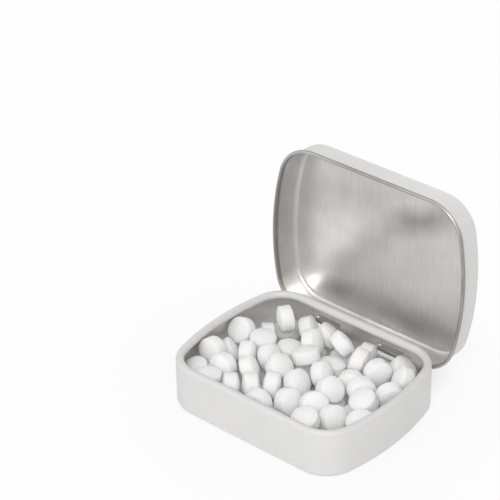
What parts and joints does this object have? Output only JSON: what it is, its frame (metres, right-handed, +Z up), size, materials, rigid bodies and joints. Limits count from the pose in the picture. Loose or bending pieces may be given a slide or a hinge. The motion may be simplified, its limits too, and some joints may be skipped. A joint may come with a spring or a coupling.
{
  "type": "mint tin",
  "caption": "Small rectangular tin with rounded corners and a rolled rim, its hinged lid open, filled with a loose heap of round pressed mints.",
  "frame": {"origin": "middle of the tray's flat underside, where the tin stands", "axes": "+X along the tin's length, +Y towards the hinge at the back, +Z up; the lid stands open as in the picture"},
  "size_m": [0.0602, 0.0561, 0.054],
  "materials": {
    "tray_tinplate": "satin white lacquer outside, plain tinplate inside",
    "lid_tinplate": "plain tinplate inside, satin white lacquer outside",
    "mint": "matt pressed sugar"
  },
  "bodies": {
    "base": {"base_tray": "tray_tinplate", "mint_01": "mint", "mint_02": "mint", "mint_03": "mint", "mint_04": "mint", "mint_05": "mint", "mint_06": "mint", "mint_07": "mint", "mint_08": "mint", "mint_09": "mint", "mint_10": "mint", "mint_11": "mint", "mint_12": "mint", "mint_13": "mint", "mint_14": "mint", "mint_15": "mint", "mint_16": "mint", "mint_17": "mint", "mint_18": "mint", "mint_19": "mint", "mint_20": "mint", "mint_21": "mint", "mint_22": "mint", "mint_23": "mint", "mint_24": "mint", "mint_25": "mint", "mint_26": "mint", "mint_27": "mint", "mint_28": "mint", "mint_29": "mint", "mint_30": "mint", "mint_31": "mint", "mint_32": "mint", "mint_33": "mint", "mint_34": "mint", "mint_35": "mint", "mint_36": "mint", "mint_37": "mint", "mint_38": "mint", "mint_39": "mint", "mint_40": "mint", "mint_41": "mint", "mints_underneath": "mint"},
    "cover": {"lid": "lid_tinplate"}
  },
  "joints": [
    {"name": "lid_hinge", "type": "hinge", "parent": "base", "child": "cover", "pos_m": [0, 0.02354, 0.00645], "axis": [1, 0, 0], "range_deg": [0, 93]}
  ]
}
